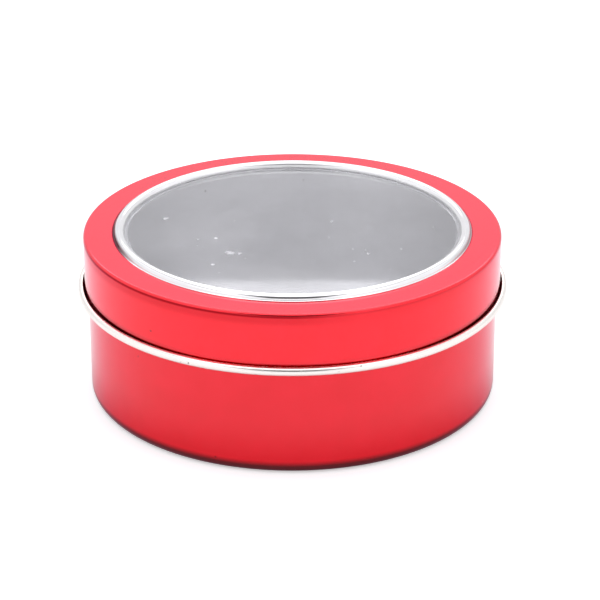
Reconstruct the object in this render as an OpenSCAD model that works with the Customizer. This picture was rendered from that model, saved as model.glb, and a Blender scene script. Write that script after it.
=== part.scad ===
// Round slip-lid tin with a clear window in the lid.
// Millimetres, +Z up. The origin is the centre of the underside, where the tin stands.
// Every piece is one sheet of even thickness. Its outline is a chain of arcs with straight
// stretches between them, turned round the Z axis.

/* [Tin] */
// Height from the table to the flat top of the lid, with the tin closed
tin_h = 34.2; // [20:0.1:60]
// Outer diameter of the lid's skirt
lid_d = 85; // [60:0.5:120]
// Thickness of the tinplate
sheet_t = 0.25; // [0.2:0.01:0.3]

/* [Lid] */
// Depth of the lid from its flat top to the foot of the skirt's curl
lid_depth = 12.4; // [8:0.1:18]
// Outer radius of the bend between the flat top and the skirt
lid_edge_r = 0.6; // [0.5:0.05:0.9]
// Outer diameter of the curl at the foot of the skirt
skirt_curl_d = 1.7; // [1.4:0.05:2.4]

/* [Window] */
// Width of the lid's top from the outside of the skirt to the clear opening
window_band_w = 8.4; // [7:0.05:20]
// Width of the ridge round the window
ridge_w = 2.1; // [1.8:0.05:2.6]
// Height of that ridge above the flat top
ridge_h = 1.05; // [0.9:0.05:1.15]
// Radius of the hollow between the flat top and the ridge
ridge_hollow_r = 0.25; // [0.2:0.05:0.5]
// Thickness of the clear pane
pane_t = 0.3; // [0.2:0.01:0.35]
// Rise of the pane's middle above its edge
pane_rise = 0.4; // [0.1:0.05:0.8]

/* [Retaining ring] */
// Distance from the foot of the ridge to the lip of the ring that holds the pane
retainer_set_back = 0.6; // [0.3:0.1:2]
// Depth of the lip at the ring's inner edge
retainer_lip_h = 1.2; // [0.8:0.1:2.5]
// Outer radius of the bend between the ring and its lip
retainer_bend_r = 0.5; // [0.4:0.05:0.7]

/* [Base] */
// Outer radius of the bend between the wall and the floor
base_edge_r = 1.8; // [1:0.1:4]
// Outer diameter of the curl along the rim
rim_curl_d = 0.65; // [0.65:0.05:1.2]
// Width of the flat ring that the tin stands on
foot_w = 3; // [2:0.1:6]
// Rise of the floor's middle above that ring
panel_rise = 0.4; // [0.3:0.05:1]
// Width of the slope between the ring and the middle of the floor
panel_slope_w = 0.8; // [0.6:0.1:2]

/* [Fits] */
// Radial clearance between the base's rim and the lid's skirt
slip_gap = 0.05; // [0.02:0.01:0.1]
// Clearance under the lid where it seats on the rim
seat_gap = 0.1; // [0.05:0.01:0.2]
// Clearance round the pieces that are pressed into the lid
press_gap = 0.02; // [0.01:0.005:0.05]
// Gap between the free edge of the base's rim and the wall that it rolls back to
rim_edge_gap = 0.1; // [0.05:0.01:0.15]

/* [Hidden] */
$fn = 180;
// Greatest angle between the points of an outline's arcs, and least distance between two points
arc_step = 10;
least_step = 0.005;
lacquer_red = [0.8, 0.06, 0.1];
bright_tin = [0.78, 0.79, 0.8];
clear_plastic = [0.85, 0.9, 0.93, 0.4];

// Lid skirt, its top edge and its curl
lid_ro = lid_d / 2;
lid_ri = lid_ro - sheet_t;
lid_edge_at = [lid_ro - lid_edge_r, tin_h - lid_edge_r];
skirt_curl_r = skirt_curl_d / 2;
skirt_curl_at = [lid_ri + skirt_curl_r, tin_h - lid_depth + skirt_curl_r];
// The curl isn't quite closed, so its free edge leaves a groove round the skirt
skirt_curl_end = 465;
// Greatest length between the points of an outline's arcs
longest_step = lid_ro / 10;

// Pane: it lies flat under the lid's top, and its middle is arched
pane_top_z = tin_h - sheet_t - press_gap;
pane_ro = lid_ro - lid_edge_r - press_gap;

// Ridge round the window, its free edge just above the pane, and the hollow that meets it
// where the two arcs touch
ridge_r = ridge_w / 2;
ridge_at = [lid_ro - window_band_w + ridge_r, tin_h + ridge_h - ridge_r];
ridge_end_turn = asin((ridge_at.y - pane_top_z - press_gap) / ridge_r);
hollow_reach = ridge_r + ridge_hollow_r;
hollow_turn = asin((tin_h + ridge_hollow_r - ridge_at.y) / hollow_reach);
hollow_at = [ridge_at.x + hollow_reach * cos(hollow_turn), tin_h + ridge_hollow_r];

// Arch of the pane, from its middle to the free edge of the ridge
arch_w = ridge_at.x - ridge_r * cos(ridge_end_turn);
arch_r = (arch_w * arch_w + pane_rise * pane_rise) / (2 * pane_rise);
arch_turn = asin(arch_w / arch_r);
arch_at = [0, pane_top_z + pane_rise - arch_r];

// Retaining ring, pressed up into the skirt until it meets the pane
retainer_top_z = pane_top_z - pane_t - press_gap;
retainer_ro = lid_ri - press_gap;
retainer_ri = hollow_at.x + retainer_set_back;
retainer_bend_at = [retainer_ri + retainer_bend_r, retainer_top_z - retainer_bend_r];
retainer_lip_at = [retainer_bend_at.x, retainer_top_z - retainer_lip_h];

// Base: its rim runs inside the skirt, and the ring in the lid seats on it
rim_curl_r = rim_curl_d / 2;
rim_top_z = retainer_top_z - sheet_t - seat_gap;
rim_curl_at = [lid_ri - slip_gap - rim_curl_r, rim_top_z - rim_curl_r];
rim_curl_end = -acos((sheet_t + rim_edge_gap - rim_curl_r) / rim_curl_r);
wall_ri = rim_curl_at.x - rim_curl_r;
wall_ro = wall_ri + sheet_t;
foot_ro = wall_ro - base_edge_r;
foot_ri = foot_ro - foot_w;
panel_r = foot_ri - panel_slope_w;

// Points along an arc, with both its ends, at an even step
function arc_points(at, r, a0, a1) =
    let (turn = abs(a1 - a0))
    let (steps = ceil(max(turn / arc_step, abs(r) * turn * PI / 180 / longest_step)))
    [for (i = [0 : steps])
        let (a = a0 + (steps == 0 ? 0 : i * (a1 - a0) / steps))
        at + r * [cos(a), sin(a)]];

// One side of a sheet. Each stretch is [centre, first side's radius, second side's radius,
// start angle, end angle], and straight sheet runs from each stretch to the next.
function side(stretches, k) = [
    for (s = stretches) each arc_points(s[0], s[k], s[3], s[4])
];

// The same points without those that repeat the point before them
function thinned(points) = [
    for (i = [0 : len(points) - 1])
        if (i == 0 || norm(points[i] - points[i - 1]) > least_step) points[i]
];

function reversed(points) = [for (i = [len(points) - 1 : -1 : 0]) points[i]];

// Sheet of even thickness turned round the Z axis
module sheet(stretches) {
    rotate_extrude() {
        polygon(concat(thinned(side(stretches, 1)), reversed(thinned(side(stretches, 2)))));
    }
}

// Drawn can: floor panel, foot ring, wall, and a rim that is curled outwards
module base_can() {
    color(lacquer_red) sheet([
        [[0, panel_rise], 0, sheet_t, 90, 90],
        [[panel_r, panel_rise], 0, sheet_t, 90, 90],
        [[foot_ri, 0], 0, sheet_t, 90, 90],
        [[foot_ro, base_edge_r], base_edge_r, base_edge_r - sheet_t, -90, 0],
        [rim_curl_at, rim_curl_r - sheet_t, rim_curl_r, 180, rim_curl_end]
    ]);
}

// Drawn lid: a ridge is pressed up round the window, and the skirt's foot is curled outwards
module lid_shell() {
    color(lacquer_red) sheet([
        [ridge_at, ridge_r, ridge_r - sheet_t, 180 + ridge_end_turn, hollow_turn],
        [hollow_at, ridge_hollow_r, ridge_hollow_r + sheet_t, 180 + hollow_turn, 270],
        [lid_edge_at, lid_edge_r, lid_edge_r - sheet_t, 90, 0],
        [skirt_curl_at, skirt_curl_r - sheet_t, skirt_curl_r, 180, skirt_curl_end]
    ]);
}

// Clear pane: one disc, arched inside the ridge and flat round its edge
module window_pane() {
    color(clear_plastic) sheet([
        [arch_at, arch_r, arch_r - pane_t, 90, 90 - arch_turn],
        [[pane_ro, pane_top_z], 0, -pane_t, 90, 90]
    ]);
}

// Flat bright ring with a turned-down lip, pressed into the lid under the pane's flange
module pane_retainer() {
    color(bright_tin) sheet([
        [[retainer_ro, retainer_bend_at.y], retainer_bend_r, retainer_bend_r - sheet_t, 90, 90],
        [retainer_bend_at, retainer_bend_r, retainer_bend_r - sheet_t, 90, 180],
        [retainer_lip_at, retainer_bend_r, retainer_bend_r - sheet_t, 180, 180]
    ]);
}

base_can();
lid_shell();
window_pane();
pane_retainer();
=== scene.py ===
import math

import bpy
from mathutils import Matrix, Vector

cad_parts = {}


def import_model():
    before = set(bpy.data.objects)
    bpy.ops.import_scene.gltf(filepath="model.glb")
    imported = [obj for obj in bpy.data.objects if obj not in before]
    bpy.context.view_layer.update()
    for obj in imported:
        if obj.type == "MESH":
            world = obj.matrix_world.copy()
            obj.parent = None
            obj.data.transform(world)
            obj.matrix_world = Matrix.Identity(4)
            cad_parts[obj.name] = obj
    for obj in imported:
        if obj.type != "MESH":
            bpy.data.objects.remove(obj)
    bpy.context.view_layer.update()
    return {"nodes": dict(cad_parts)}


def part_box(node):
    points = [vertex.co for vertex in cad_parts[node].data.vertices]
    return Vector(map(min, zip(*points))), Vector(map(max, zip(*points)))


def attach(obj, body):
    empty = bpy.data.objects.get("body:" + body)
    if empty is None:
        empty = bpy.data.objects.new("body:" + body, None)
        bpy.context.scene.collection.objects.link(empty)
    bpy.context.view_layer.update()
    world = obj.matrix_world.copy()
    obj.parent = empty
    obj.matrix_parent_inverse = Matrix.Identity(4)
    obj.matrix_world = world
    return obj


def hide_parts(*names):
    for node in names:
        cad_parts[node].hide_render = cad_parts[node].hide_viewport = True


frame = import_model()

MM = 0.001


def mm(*values):
    return tuple(v * MM for v in values)


# Sheet metal and plastic, as the solids have them
SHEET_T = 0.25 * MM
PANE_T = 0.3 * MM
PANE_RISE = 0.4 * MM
SKIRT_CURL_R = 0.85 * MM
SKIRT_CURL_END = 465
RIDGE_R = 1.05 * MM
HOLLOW_R = 0.25 * MM
LID_EDGE_R = 0.6 * MM
RIM_CURL_R = 0.325 * MM
RIM_CURL_END = -85
BASE_EDGE_R = 1.8 * MM
FOOT_W = 3.0 * MM
PANEL_SLOPE_W = 0.8 * MM
PANEL_RISE = 0.4 * MM
RETAINER_BEND_R = 0.5 * MM
PRESS_GAP = 0.02 * MM

# Fineness of the meshes: points round the axis, degrees and length between an arc's points, least
# distance between two points, and the rounding of a sheet's free edge with its number of steps
TURNS = 288
ARC_STEP = 6
LONGEST_STEP = 4 * MM
LEAST_STEP = 0.002 * MM
EDGE_ROUND = 0.09 * MM
EDGE_STEPS = 8

# Colours
RED_DARK, RED_LIGHT = (0.93, 0.001, 0.013), (0.97, 0.003, 0.019)
# The base's red is a darker copy of the lid's: painted shade for the shadowed floor that it mirrors
SHADED_BASE_DARK, SHADED_BASE_LIGHT = (0.79, 0.001, 0.012), (0.84, 0.003, 0.018)
LACQUER_SHEEN = (0.95, 0.5, 0.62)
DUST_PINK = (0.95, 0.45, 0.45)
PINHOLE_RED = (0.3, 0.0, 0.004)
# Painted shade on the base's foot bend and on the skirt just above its curl
LOW_SHADE = (0.04, 0.002, 0.006)
# Painted shade just under the lid's top edge
EDGE_SHADE = (0.05, 0.002, 0.004)
# Painted shade in the crease at the ridge's foot, on the lacquer and on the tin
CREASE_SHADE_RED = (0.03, 0.003, 0.006)
CREASE_SHADE_TIN = (0.06, 0.015, 0.02)
RIDGE_TIN = (0.91, 0.91, 0.905)
INNER_TIN = (0.88, 0.88, 0.89)
CURL_TIN = (0.93, 0.895, 0.84)
SPECK_GREY = (0.35, 0.33, 0.32)
SPOT_BROWN = (0.3, 0.27, 0.24)
PANE_WHITE = (0.965, 0.965, 0.985)
FLOOR_WHITE = (0.86, 0.86, 0.86)
STUDIO_WHITE = (0.985, 0.98, 1.02)
WHITE = (1, 1, 1)
# Darkest tone of bare tin, as a share of its lightest
TIN_DARKER = 0.95

# Noises: scale, detail, roughness
LACQUER_TONE = (180, 5, 0.6)
LACQUER_GRAIN = (900, 4, 0.6)
TIN_TONE = (250, 5, 0.6)
TIN_GRAIN = (400, 4, 0.6)
# The next noise makes the painted shade in the crease patchy
CREASE_SHADE_PATCHES = (120, 3, 0.5)
PANE_HAZE = (45, 3, 0.5)
PANE_GRAIN = (60, 4, 0.6)
RAGGED_EDGE = (900, 4, 0.7)
# Part of a noise's range that is used, as few of its values lie outside
NOISE_SPAN = (0.3, 0.7)

# What follows a noise: its value at the low and at the high end, for the haze with the span
LACQUER_ROUGH = (0.14, 0.22)
RIDGE_ROUGH = (0.06, 0.12)
INNER_ROUGH = (0.36, 0.44)
PANE_ROUGH = (0.01, 0.05)
PATCHY = (0.75, 1)
HAZY = (0.91, 0.82, (0.35, 0.75))

# Specks: cells per metre, radius as a share of a cell, share of the cells that have one
LACQUER_DUST = (260, 0.06, 0.05)
LACQUER_PINHOLES = (330, 0.07, 0.06)
TIN_SPECKS = (420, 0.1, 0.05)
CURL_SPOTS = (700, 0.12, 0.14)
PANE_DUST = (190, 0.07, 0.12)
PANE_FINE_DUST = (420, 0.07, 0.15)

# Gloss: the lacquer's coat, the pane, the ridge where shade is painted in its crease, and how much
# rougher the curl is than the ridge
COAT_ROUGH, COAT_IOR = 0.08, 1.52
PANE_IOR = 1.5
CREASE_SHADE_SPECULAR = 0.1
CURL_ROUGHER = 0.16

# Levels that change over a span: before it, after it, and the span. It is measured outwards from
# the middle to both sides, from left to right, from front to back, or out from the axis.
# Painted shade: in the crease and above the skirt's curl it is strongest at the sides; in the
# crease and under the lid's edge it is weaker at the right
CREASE_TO_SIDES = (0.05, 1, mm(31, 34.5))
SKIRT_SHADE_TO_SIDES = (0.2, 1, mm(18, 38))
CREASE_TO_RIGHT = (1, 0.6, mm(-10, 10))
EDGE_SHADE_TO_RIGHT = (1, 0.3, mm(0, 12))
RIDGE_ROUGHER_TO_BACK = (0, 0.25, mm(12, 30))
CURL_OUT_FROM = (0, 1, mm(39, 41))

# Painted shade in the crease at the ridge's foot: half its width and its depth, on the lacquer and
# on the ridge, and the share of its width that has the full depth
CREASE_ON_TOP = (0.3 * MM, 0.9)
CREASE_ON_RIDGE = (0.62 * MM, 1.1)
CREASE_CORE = 0.5

# Heights between which painted shade, or the dullness that paints shade, fades, and its depth:
# above the table on the base, above the skirt's foot, and down from the flat top under the lid's
# edge
BASE_SHADE_UP_TO, BASE_SHADE_DEPTH = mm(1.4, 2.8), 0.88
BASE_DULL_UP_TO, BASE_DULL_DEPTH = mm(0, 11), 0.5
SKIRT_SHADE_UP_TO, SKIRT_SHADE_DEPTH = mm(1.5, 3.2), 0.7
EDGE_SHADE_FROM = mm(0.2, 0.5)
EDGE_LINE_DOWN_TO, EDGE_LINE_DEPTH = mm(0.65, 0.95), 0.45
EDGE_BAND_DOWN_TO, EDGE_BAND_DEPTH = mm(1.4, 2.9), 0.2
# How much more the painted shade under the edge dulls than it darkens
EDGE_DULLER = 1.3

# What dust, smudges and the milky edge along the ridge take from the pane's clearness
DUST_TAKES = 0.5
FINE_DUST_TAKES = 0.3
SMUDGE_TAKES = 0.45
MILKY_TAKES, MILKY_W = 0.35, 0.9 * MM
# Smudges: x, y and half width, at the height of the pane's middle
SMUDGES = [mm(-12.4, -13.0, 1.5), mm(-26.0, 5.2, 1.3), mm(-10.5, -13.2, 0.9),
           mm(8.0, 3.0, 0.6), mm(15.0, -13.5, 0.5)]
SMUDGE_Z = 34.2 * MM
# How far a smudge's edge wavers and where it fades, as shares of its half width
SMUDGE_RAGGED, SMUDGE_FADE = 1.4, (0.7, 1.5)

# Floor: half its width, its roughness, and the light it adds for the camera and in reflections
FLOOR_HALF = 6.0
FLOOR_ROUGH = 0.9
FLOOR_SEEN_ADDS = 0.45
FLOOR_MIRRORED_ADDS = 0.08

# Studio. Levels of light: the tent's, what the softbox, its back strip and the side lamps add, and
# the share that the tent's low back, the softbox's rim and the slot for the lens leave
TENT = 1.1
SOFTBOX_ADDS = 0.3
STRIP_ADDS = 1.5
LAMPS_ADD = 0.4
LOW_BACK_LEAVES = 0.84
RIM_LEAVES = 0.5
SLOT_LEAVES = 0.1
# Its patches, on a level plane overhead in units of the plane's height: their span to each side,
# their span towards the back, and how soft the ends of both spans are
MIDDLE = -1
SOFTBOX = ((MIDDLE, 0.62), (-0.70, 2.055), 0.02, 0.02)
STRIP = ((MIDDLE, 0.62), (1.4, 2.055), 0.02, 0.02)
RIM = ((0.62, 0.74), (-0.70, 1.2), 0.02, 0.05)
SLOT = ((MIDDLE, 0.70), (-2.4, -0.5), 0.25, 0.12)
LAMPS = ((0.5, 1.6), (-1.9, -0.4), 0.05, 0.05)
# A direction's slopes: the least one with a place on that plane, where the patches come in, and
# the low back's, which comes in backwards and ends upwards
LEAST_UP = 0.02
PATCHES_UP_FROM = (0.03, 0.06)
LOW_BACK_AWAY_FROM = (0.1, 0.5)
LOW_BACK_UP_TO = (0.43, 0.45)

# Lamp overhead that casts the tin's shadow: place, width and radiance
OVERHEAD_AT = (0, 0.2, 1.1)
OVERHEAD_W = 0.9
OVERHEAD_RADIANCE = 0.6

# Camera, fitted to the photo: distance, elevation, the point it looks at, focal length in pixels of
# a picture this wide, the sensor's width in mm, and the nearest and farthest that it sees
CAMERA_FAR = 500 * MM
CAMERA_UP = 26.238
LOOK_AT = mm(1.545, 0, 18.037)
FOCAL_PX = 2387.0
PICTURE_PX = 600
SENSOR_W = 36
CLIP = (0.01, 20)


def radii(node):
    """Least and greatest distance of a node's vertices from the Z axis."""
    far = [math.hypot(v.co.x, v.co.y) for v in frame["nodes"][node].data.vertices]
    return min(far), max(far)


def turned(at, r, angle):
    """Point at distance r and an angle in degrees from a centre."""
    a = math.radians(angle)
    return at[0] + r * math.cos(a), at[1] + r * math.sin(a)


# Places that the solids give
lid_low, lid_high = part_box("lid_shell")
pane_low, pane_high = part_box("window_pane")
ring_low, ring_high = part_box("pane_retainer")
_, base_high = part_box("base_can")
opening_r, lid_reach = radii("lid_shell")
ring_ri, ring_ro = radii("pane_retainer")

tin_h = lid_high.z - RIDGE_R
lid_ri = lid_reach - 2 * SKIRT_CURL_R
lid_ro = lid_ri + SHEET_T
skirt_curl_at = (lid_ri + SKIRT_CURL_R, lid_low.z + SKIRT_CURL_R)
lid_edge_at = (lid_ro - LID_EDGE_R, tin_h - LID_EDGE_R)
ridge_at = (opening_r + RIDGE_R, tin_h)
hollow_turn = math.degrees(math.asin(HOLLOW_R / (RIDGE_R + HOLLOW_R)))
hollow_at = turned(ridge_at, RIDGE_R + HOLLOW_R, hollow_turn)


def arc(at, r, a0, a1, outward):
    """Points (r, z, normal r, normal z) along an arc, with both its ends."""
    turn = math.radians(abs(a1 - a0))
    steps = math.ceil(max(abs(a1 - a0) / ARC_STEP, abs(r) * turn / LONGEST_STEP))
    line = []
    for i in range(steps + 1):
        a = math.radians(a0 + (i * (a1 - a0) / steps if steps else 0))
        c, s = math.cos(a), math.sin(a)
        line.append((at[0] + r * c, at[1] + r * s, outward * c, outward * s))
    return line


def side(stretches, k):
    """Points along a sheet's first (0) or second (1) side."""
    line = []
    for at, *r, a0, a1 in stretches:
        for p in arc(at, r[k], a0, a1, 1 if r[k] >= r[1 - k] else -1):
            if not line or math.dist(p[:2], line[-1][:2]) > LEAST_STEP:
                line.append(p)
    return line


def free_edge(a, b, before):
    """Rounded end of a sheet from point a to point b, kept inside the sheet's square end.

    before is the point next to a on its side, which tells which way is ahead.
    """
    across = Vector((a[0] - b[0], a[1] - b[1]))
    half = across.length / 2
    across.normalize()
    ahead = Vector((-across.y, across.x))
    if ahead.dot(Vector((a[0] - before[0], a[1] - before[1]))) < 0:
        ahead.negate()
    mid = Vector(((a[0] + b[0]) / 2, (a[1] + b[1]) / 2)) - ahead * EDGE_ROUND
    points = []
    for i in range(EDGE_STEPS + 1):
        t = math.pi * i / EDGE_STEPS
        p = mid + across * half * math.cos(t) + ahead * EDGE_ROUND * math.sin(t)
        n = (across * math.cos(t) / half + ahead * math.sin(t) / EDGE_ROUND).normalized()
        points.append((p.x, p.y, n.x, n.y))
    return points


def outline(stretches):
    """Closed outline of a sheet as (r, z, normal r, normal z, side).

    Each stretch is (centre, first side's radius, second side's radius, start angle, end angle).
    """
    first, second = side(stretches, 0), side(stretches, 1)
    ends = []
    for i, k in ((0, 1), (-1, -2)):
        on_axis = min(first[i][0], second[i][0]) < LEAST_STEP
        ends.append([] if on_axis else free_edge(first[i], second[i], first[k]))
    for line in (first, second):
        if ends[0]:
            del line[0]
        if ends[1]:
            del line[-1]
    points = [(*p, 0) for p in first] + [(*p, 1) for p in ends[1]]
    points += [(*p, 1) for p in second[::-1]] + [(*p, 1) for p in ends[0][::-1]]
    return points


def round_the_axis(points):
    """Vertices, their normals, and each outline point's ring of vertices."""
    verts, normals, rings = [], [], []
    for r, z, nr, nz, _ in points:
        if r < LEAST_STEP:
            rings.append([len(verts)])
            verts.append((0, 0, z))
            normals.append((0, 0, 1 if nz > 0 else -1))
            continue
        rings.append(list(range(len(verts), len(verts) + TURNS)))
        for j in range(TURNS):
            t = 2 * math.pi * j / TURNS
            c, s = math.cos(t), math.sin(t)
            verts.append((r * c, r * s, z))
            normals.append((nr * c, nr * s, nz))
    return verts, normals, rings


def faces_between(a, b):
    """Faces between two rings, of which one can be a single vertex on the axis."""
    for j in range(TURNS):
        n = (j + 1) % TURNS
        if len(a) == 1:
            yield a[0], b[j], b[n]
        elif len(b) == 1:
            yield a[j], b[0], a[n]
        else:
            yield a[j], b[j], b[n], a[n]


def revolve(name, stretches, materials, body, nodes, first_from=0.0):
    """Turn a sheet round Z.

    Its first side takes the first material beyond the radius first_from. All else takes the last.
    """
    points = outline(stretches)
    verts, normals, rings = round_the_axis(points)
    pairs = [(i, i + 1) for i in range(len(rings) - 1)]
    if len(rings[0]) > 1:
        pairs.append((len(rings) - 1, 0))
    faces, skins = [], []
    for i, k in pairs:
        on_first = points[i][4] == 0 and points[k][4] == 0
        mid = (points[i][0] + points[k][0]) / 2
        new = list(faces_between(rings[i], rings[k]))
        faces += new
        skins += [0 if on_first and mid > first_from else len(materials) - 1] * len(new)
    mesh = bpy.data.meshes.new(name)
    mesh.from_pydata(verts, [], faces)
    for material in materials:
        mesh.materials.append(material)
    for polygon, k in zip(mesh.polygons, skins):
        polygon.material_index = k
        polygon.use_smooth = True
    mesh.validate()
    # Faces that point into the sheet are turned round
    test = mesh.polygons[len(mesh.polygons) // 4]
    if test.normal.dot(Vector(normals[test.vertices[0]])) < 0:
        mesh.flip_normals()
    mesh.normals_split_custom_set_from_vertices(normals)
    piece = bpy.data.objects.new(name, mesh)
    bpy.context.scene.collection.objects.link(piece)
    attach(piece, body)
    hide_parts(*nodes)


class Graph:
    """Nodes of a material or of the world. A value is a number or another node's output."""

    def __init__(self, tree):
        self.nodes, self.links = tree.nodes, tree.links

    def put(self, value, socket):
        """Link a value to a socket, or set the socket to a number or a colour."""
        if isinstance(value, bpy.types.NodeSocket):
            self.links.new(value, socket)
        else:
            socket.default_value = (*value, 1) if isinstance(value, tuple) else value

    def maths(self, kind, a, b=0):
        node = self.nodes.new("ShaderNodeMath")
        node.operation = kind
        self.put(a, node.inputs[0])
        self.put(b, node.inputs[1])
        return node.outputs[0]

    def product(self, *values):
        out = values[0]
        for value in values[1:]:
            out = self.maths("MULTIPLY", out, value)
        return out

    def total(self, *values):
        out = values[0]
        for value in values[1:]:
            out = self.maths("ADD", out, value)
        return out

    def without(self, mask):
        return self.maths("SUBTRACT", 1, mask)

    def spread(self, source, before, after, span=NOISE_SPAN, kind="LINEAR"):
        """Level that changes as a source goes through a span, and stays as it is outside."""
        node = self.nodes.new("ShaderNodeMapRange")
        node.interpolation_type = kind
        node.inputs["From Min"].default_value, node.inputs["From Max"].default_value = span
        node.inputs["To Min"].default_value = before
        node.inputs["To Max"].default_value = after
        self.links.new(source, node.inputs["Value"])
        return node.outputs["Result"]

    def ramp(self, source, low, high):
        """0 up to low and 1 from high on, with soft ends."""
        return self.spread(source, 0, 1, (low, high), "SMOOTHSTEP")

    def band(self, source, span, soft):
        """1 inside a span and 0 outside it, with soft ends."""
        low, high = span
        return self.product(self.ramp(source, low - soft, low + soft),
                            self.without(self.ramp(source, high - soft, high + soft)))

    def lowered(self, level, mask, leaves):
        """A level of which only a share is left where the mask is 1."""
        return self.product(level, self.without(self.product(mask, 1 - leaves)))

    def point(self, kind="Object"):
        """The shaded point's coordinates."""
        return self.nodes.new("ShaderNodeTexCoord").outputs[kind]

    def axes(self, kind="Object"):
        """The shaded point's x, y and z."""
        node = self.nodes.new("ShaderNodeSeparateXYZ")
        self.links.new(self.point(kind), node.inputs[0])
        return node.outputs

    def from_axis(self):
        """The shaded point's distance from the Z axis."""
        x, y, _ = self.axes()
        return self.maths("SQRT", self.total(self.product(x, x), self.product(y, y)))

    def from_middle(self):
        """The shaded point's distance to the left or right of the tin's middle."""
        return self.maths("ABSOLUTE", self.axes()[0])

    def height_fade(self, low, high):
        """1 at a height of low and less, 0 at high and more."""
        return self.spread(self.axes()[2], 1, 0, (low, high), "SMOOTHSTEP")

    def noise(self, scale, detail, rough):
        node = self.nodes.new("ShaderNodeTexNoise")
        node.inputs["Scale"].default_value = scale
        node.inputs["Detail"].default_value = detail
        node.inputs["Roughness"].default_value = rough
        self.links.new(self.point(), node.inputs["Vector"])
        return node.outputs["Fac"]

    def specks(self, scale, size, share):
        """1 inside small round specks, 0 between them."""
        cells = self.nodes.new("ShaderNodeTexVoronoi")
        cells.inputs["Scale"].default_value = scale
        self.links.new(self.point(), cells.inputs["Vector"])
        split = self.nodes.new("ShaderNodeSeparateColor")
        self.links.new(cells.outputs["Color"], split.inputs[0])
        return self.product(self.maths("LESS_THAN", cells.outputs["Distance"], size),
                            self.maths("LESS_THAN", split.outputs[0], share))

    def over(self, factor, under, colour):
        """A colour laid over another, as far as the factor says."""
        node = self.nodes.new("ShaderNodeMix")
        node.data_type = "RGBA"
        self.put(factor, node.inputs["Factor"])
        self.put(under, node.inputs["A"])
        self.put(colour, node.inputs["B"])
        return node.outputs["Result"]


def new_material(name, **values):
    """A material, its graph, and its shader's sockets, some of them set to values."""
    m = bpy.data.materials.new(name)
    m.use_nodes = True
    g = Graph(m.node_tree)
    sockets = g.nodes["Principled BSDF"].inputs
    for key, value in values.items():
        g.put(value, sockets[key.replace("_", " ")])
    return m, g, sockets


def crease_shade_mask(g, half, depth):
    """Painted shade in the crease at the ridge's foot, at the tin's left and less at its right."""
    off = g.maths("ABSOLUTE", g.maths("SUBTRACT", g.from_axis(), hollow_at[0]))
    near = g.spread(off, 1, 0, (half * CREASE_CORE, half))
    at_sides = g.spread(g.from_middle(), *CREASE_TO_SIDES)
    less_right = g.spread(g.axes()[0], *CREASE_TO_RIGHT)
    patchy = g.spread(g.noise(*CREASE_SHADE_PATCHES), *PATCHY)
    return g.product(near, at_sides, less_right, patchy, depth)


def edge_shade_mask(g):
    """Painted shade just under the edge of the lid's top: a narrow line, and a faint band below it.
    """
    def down_to(near, far):
        return g.without(g.height_fade(tin_h - far, tin_h - near))

    line = g.product(down_to(*EDGE_LINE_DOWN_TO), EDGE_LINE_DEPTH)
    band = g.product(down_to(*EDGE_BAND_DOWN_TO), EDGE_BAND_DEPTH)
    below = g.without(down_to(*EDGE_SHADE_FROM))
    less_right = g.spread(g.axes()[0], *EDGE_SHADE_TO_RIGHT)
    return g.product(g.total(line, band), below, less_right)


def red_lacquer(name, dark, light):
    """Translucent red lacquer on tin, with dust and pinholes. Its colour comes back as well."""
    m, g, sockets = new_material(name, Metallic=1, Specular_Tint=LACQUER_SHEEN,
                                 Coat_Roughness=COAT_ROUGH, Coat_IOR=COAT_IOR)
    colour = g.over(g.spread(g.noise(*LACQUER_TONE), 0, 1), dark, light)
    colour = g.over(g.specks(*LACQUER_DUST), colour, DUST_PINK)
    colour = g.over(g.specks(*LACQUER_PINHOLES), colour, PINHOLE_RED)
    g.put(g.spread(g.noise(*LACQUER_GRAIN), *LACQUER_ROUGH), sockets["Roughness"])
    return m, g, sockets, colour


def base_lacquer():
    """Lacquer darkened as painted shade, with more painted shade on the bend at its foot and less
    gloss low on its wall, which paints shade as well.
    """
    m, g, sockets, colour = red_lacquer("base_lacquer", SHADED_BASE_DARK, SHADED_BASE_LIGHT)
    foot_shade = g.product(g.height_fade(*BASE_SHADE_UP_TO), BASE_SHADE_DEPTH)
    # Gloss taken away low on the wall paints shade too
    dull = g.product(g.height_fade(*BASE_DULL_UP_TO), BASE_DULL_DEPTH)
    g.put(g.over(foot_shade, colour, LOW_SHADE), sockets["Base Color"])
    g.put(g.without(dull), sockets["Coat Weight"])
    return m


def lid_lacquer():
    """Bright lacquer, with painted shade under the top's edge, at the ridge's foot and above the
    curl.
    """
    m, g, sockets, colour = red_lacquer("lid_lacquer", RED_DARK, RED_LIGHT)
    edge = edge_shade_mask(g)
    crease = crease_shade_mask(g, *CREASE_ON_TOP)
    # Painted shade on the skirt just above its curl, strongest at the sides
    near_foot = g.height_fade(*(lid_low.z + up for up in SKIRT_SHADE_UP_TO))
    at_sides = g.spread(g.from_middle(), *SKIRT_SHADE_TO_SIDES)
    low = g.product(near_foot, at_sides, SKIRT_SHADE_DEPTH)
    colour = g.over(edge, colour, EDGE_SHADE)
    colour = g.over(crease, colour, CREASE_SHADE_RED)
    g.put(g.over(low, colour, LOW_SHADE), sockets["Base Color"])
    # The coat is weaker where shade is painted under the edge and in the crease
    dull = g.maths("MAXIMUM", g.product(edge, EDGE_DULLER), crease)
    g.put(g.without(dull), sockets["Coat Weight"])
    return m


def bare_tin(name, colour, rough):
    """Bare tinplate with small specks. Its colour and its roughness come back as well."""
    m, g, sockets = new_material(name, Metallic=1)
    darker = tuple(c * TIN_DARKER for c in colour)
    shade = g.over(g.spread(g.noise(*TIN_TONE), 0, 1), darker, colour)
    shade = g.over(g.specks(*TIN_SPECKS), shade, SPECK_GREY)
    return m, g, sockets, shade, g.spread(g.noise(*TIN_GRAIN), *rough)


def inner_tin():
    m, g, sockets, shade, rough = bare_tin("inner_tin", INNER_TIN, INNER_ROUGH)
    g.put(shade, sockets["Base Color"])
    g.put(rough, sockets["Roughness"])
    return m


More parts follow.
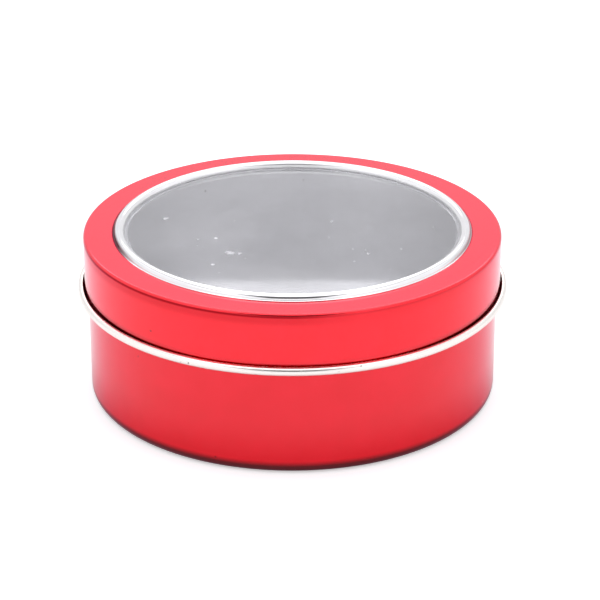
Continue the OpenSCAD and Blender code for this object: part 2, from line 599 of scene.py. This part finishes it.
def ridge_tin():
    """The lid's bare tin: bright on the ridge, duller at its back, warm and spotted on the curl."""
    m, g, sockets, shade, rough = bare_tin("ridge_tin", RIDGE_TIN, RIDGE_ROUGH)
    # Painted shade in the crease at the ridge's foot: dark, less metallic, with little gloss
    crease = crease_shade_mask(g, *CREASE_ON_RIDGE)
    on_curl = g.spread(g.from_axis(), *CURL_OUT_FROM)
    at_back = g.spread(g.axes()[1], *RIDGE_ROUGHER_TO_BACK)
    shade = g.over(crease, shade, CREASE_SHADE_TIN)
    shade = g.over(on_curl, shade, CURL_TIN)
    shade = g.over(g.product(g.specks(*CURL_SPOTS), on_curl), shade, SPOT_BROWN)
    g.put(shade, sockets["Base Color"])
    g.put(g.total(rough, g.product(on_curl, CURL_ROUGHER), at_back), sockets["Roughness"])
    g.put(g.without(crease), sockets["Metallic"])
    g.put(CREASE_SHADE_SPECULAR, sockets["Specular IOR Level"])
    return m


def clear_pane():
    """Clear plastic with haze, dust, smudges, and a milky edge along the ridge."""
    m, g, sockets = new_material("clear_pane", Base_Color=PANE_WHITE, IOR=PANE_IOR)
    veils = [g.product(g.specks(*PANE_DUST), DUST_TAKES),
             g.product(g.specks(*PANE_FINE_DUST), FINE_DUST_TAKES),
             g.spread(g.from_axis(), 0, MILKY_TAKES, (opening_r - MILKY_W, opening_r))]
    for x, y, half in SMUDGES:
        off = g.nodes.new("ShaderNodeVectorMath")
        off.operation = "DISTANCE"
        g.links.new(g.point(), off.inputs[0])
        off.inputs[1].default_value = (x, y, SMUDGE_Z)
        ragged = g.product(g.noise(*RAGGED_EDGE), SMUDGE_RAGGED * half)
        edge = g.total(off.outputs["Value"], ragged)
        veils.append(g.spread(edge, SMUDGE_TAKES, 0, tuple(far * half for far in SMUDGE_FADE)))
    clear = g.spread(g.noise(*PANE_HAZE), *HAZY)
    for veil in veils:
        clear = g.maths("SUBTRACT", clear, veil)
    g.put(clear, sockets["Transmission Weight"])
    g.put(g.spread(g.noise(*PANE_GRAIN), *PANE_ROUGH), sockets["Roughness"])
    return m


inside = inner_tin()

# Base: floor panel, foot ring, wall, and its curled rim
rim_curl_at = (radii("base_can")[1] - RIM_CURL_R, base_high.z - RIM_CURL_R)
foot_ro = rim_curl_at[0] - RIM_CURL_R + SHEET_T - BASE_EDGE_R
foot_ri = foot_ro - FOOT_W
panel_r = foot_ri - PANEL_SLOPE_W
revolve("base_tin", [
    ((0, PANEL_RISE), 0, SHEET_T, 90, 90),
    ((panel_r, PANEL_RISE), 0, SHEET_T, 90, 90),
    ((foot_ri, 0), 0, SHEET_T, 90, 90),
    ((foot_ro, BASE_EDGE_R), BASE_EDGE_R, BASE_EDGE_R - SHEET_T, -90, 0),
    (rim_curl_at, RIM_CURL_R - SHEET_T, RIM_CURL_R, 180, RIM_CURL_END),
], [base_lacquer(), inside], "base", ["base_can"])

# Lid: the ridge is bare tin as far as its foot on the flat top
pane_top_z = pane_low.z + PANE_T
ridge_end_turn = math.degrees(math.asin((ridge_at[1] - pane_top_z - PRESS_GAP) / RIDGE_R))
revolve("lid_tin", [
    (ridge_at, RIDGE_R, RIDGE_R - SHEET_T, 180 + ridge_end_turn, hollow_turn),
    (hollow_at, HOLLOW_R, HOLLOW_R + SHEET_T, 180 + hollow_turn, 270),
    (lid_edge_at, LID_EDGE_R, LID_EDGE_R - SHEET_T, 90, 0),
    (skirt_curl_at, SKIRT_CURL_R - SHEET_T, SKIRT_CURL_R, 180, SKIRT_CURL_END),
], [lid_lacquer(), ridge_tin()], "lid", ["lid_shell"], hollow_at[0])

# Pane: arched inside the ridge and flat round its edge
arch_w = ridge_at[0] - RIDGE_R * math.cos(math.radians(ridge_end_turn))
arch_r = (arch_w ** 2 + PANE_RISE ** 2) / (2 * PANE_RISE)
arch_turn = math.degrees(math.asin(arch_w / arch_r))
revolve("window_disc", [
    ((0, pane_top_z + PANE_RISE - arch_r), arch_r, arch_r - PANE_T, 90, 90 - arch_turn),
    ((pane_high.x, pane_top_z), 0, -PANE_T, 90, 90),
], [clear_pane()], "lid", ["window_pane"])

# Retaining ring and its lip
ring_bend_at = (ring_ri + RETAINER_BEND_R, ring_high.z - RETAINER_BEND_R)
revolve("pane_ring", [
    ((ring_ro, ring_bend_at[1]), RETAINER_BEND_R, RETAINER_BEND_R - SHEET_T, 90, 90),
    (ring_bend_at, RETAINER_BEND_R, RETAINER_BEND_R - SHEET_T, 90, 180),
    ((ring_bend_at[0], ring_low.z), RETAINER_BEND_R, RETAINER_BEND_R - SHEET_T, 180, 180),
], [inside], "lid", ["pane_retainer"])


def floor():
    """White table, whiter for the camera and a little brighter in reflections."""
    mesh = bpy.data.meshes.new("floor")
    s = FLOOR_HALF
    mesh.from_pydata([(-s, -s, 0), (s, -s, 0), (s, s, 0), (-s, s, 0)], [], [(0, 1, 2, 3)])
    o = bpy.data.objects.new("floor", mesh)
    bpy.context.scene.collection.objects.link(o)
    m, g, sockets = new_material("floor_white", Base_Color=FLOOR_WHITE, Roughness=FLOOR_ROUGH,
                                 Specular_IOR_Level=0, Emission_Color=WHITE)
    path = g.nodes.new("ShaderNodeLightPath")
    seen = g.product(path.outputs["Is Camera Ray"], FLOOR_SEEN_ADDS)
    mirrored = g.product(path.outputs["Is Glossy Ray"], FLOOR_MIRRORED_ADDS)
    g.put(g.total(seen, mirrored), sockets["Emission Strength"])
    mesh.materials.append(m)


def overhead():
    """Lamp that casts the tin's shadow."""
    light = bpy.data.lights.new("softbox_top", "AREA")
    light.shape = "RECTANGLE"
    light.size = light.size_y = OVERHEAD_W
    light.energy = OVERHEAD_RADIANCE * math.pi * OVERHEAD_W * OVERHEAD_W
    o = bpy.data.objects.new("softbox_top", light)
    o.location = OVERHEAD_AT
    o.rotation_mode = "QUATERNION"
    o.rotation_quaternion = (-Vector(OVERHEAD_AT)).to_track_quat("-Z", "Y")
    bpy.context.scene.collection.objects.link(o)


def world():
    """Light tent for all but the camera, which sees plain white.

    It has a softbox with a rim, side lamps, a dark slot for the lens, and a dimmer low back.
    """
    w = bpy.data.worlds.new("studio")
    bpy.context.scene.world = w
    w.use_nodes = True
    g = Graph(w.node_tree)
    x, y, z = g.axes("Generated")
    above = g.maths("MAXIMUM", z, LEAST_UP)
    across = g.maths("ABSOLUTE", g.maths("DIVIDE", x, above))
    away = g.maths("DIVIDE", y, above)
    is_above = g.ramp(z, *PATCHES_UP_FROM)

    def patch(across_span, away_span, across_soft, away_soft):
        return g.product(is_above, g.band(across, across_span, across_soft),
                         g.band(away, away_span, away_soft))

    low_back = g.product(g.ramp(y, *LOW_BACK_AWAY_FROM), g.without(g.ramp(z, *LOW_BACK_UP_TO)))
    softbox = g.product(patch(*SOFTBOX), SOFTBOX_ADDS)
    strip = g.product(patch(*STRIP), STRIP_ADDS)
    level = g.lowered(g.total(softbox, strip, TENT), low_back, LOW_BACK_LEAVES)
    level = g.lowered(level, patch(*RIM), RIM_LEAVES)
    level = g.lowered(level, patch(*SLOT), SLOT_LEAVES)
    level = g.total(level, g.product(patch(*LAMPS), LAMPS_ADD))
    studio = g.nodes.new("ShaderNodeBackground")
    white = g.nodes["Background"]
    g.put(level, studio.inputs["Strength"])
    g.put(STUDIO_WHITE, studio.inputs["Color"])
    g.put(WHITE, white.inputs["Color"])
    mix = g.nodes.new("ShaderNodeMixShader")
    path = g.nodes.new("ShaderNodeLightPath")
    g.put(path.outputs["Is Camera Ray"], mix.inputs[0])
    g.put(studio.outputs[0], mix.inputs[1])
    g.put(white.outputs[0], mix.inputs[2])
    g.put(mix.outputs[0], g.nodes["World Output"].inputs["Surface"])


def camera():
    data = bpy.data.cameras.new("camera")
    data.sensor_width = SENSOR_W
    data.lens = FOCAL_PX / PICTURE_PX * SENSOR_W
    data.clip_start, data.clip_end = CLIP
    o = bpy.data.objects.new("camera", data)
    bpy.context.scene.collection.objects.link(o)
    up = math.radians(CAMERA_UP)
    o.location = (0, -CAMERA_FAR * math.cos(up), CAMERA_FAR * math.sin(up))
    o.rotation_mode = "QUATERNION"
    o.rotation_quaternion = (Vector(LOOK_AT) - o.location).to_track_quat("-Z", "Y")
    bpy.context.scene.camera = o


floor()
overhead()
world()
camera()
bpy.context.scene.view_settings.view_transform = "Standard"
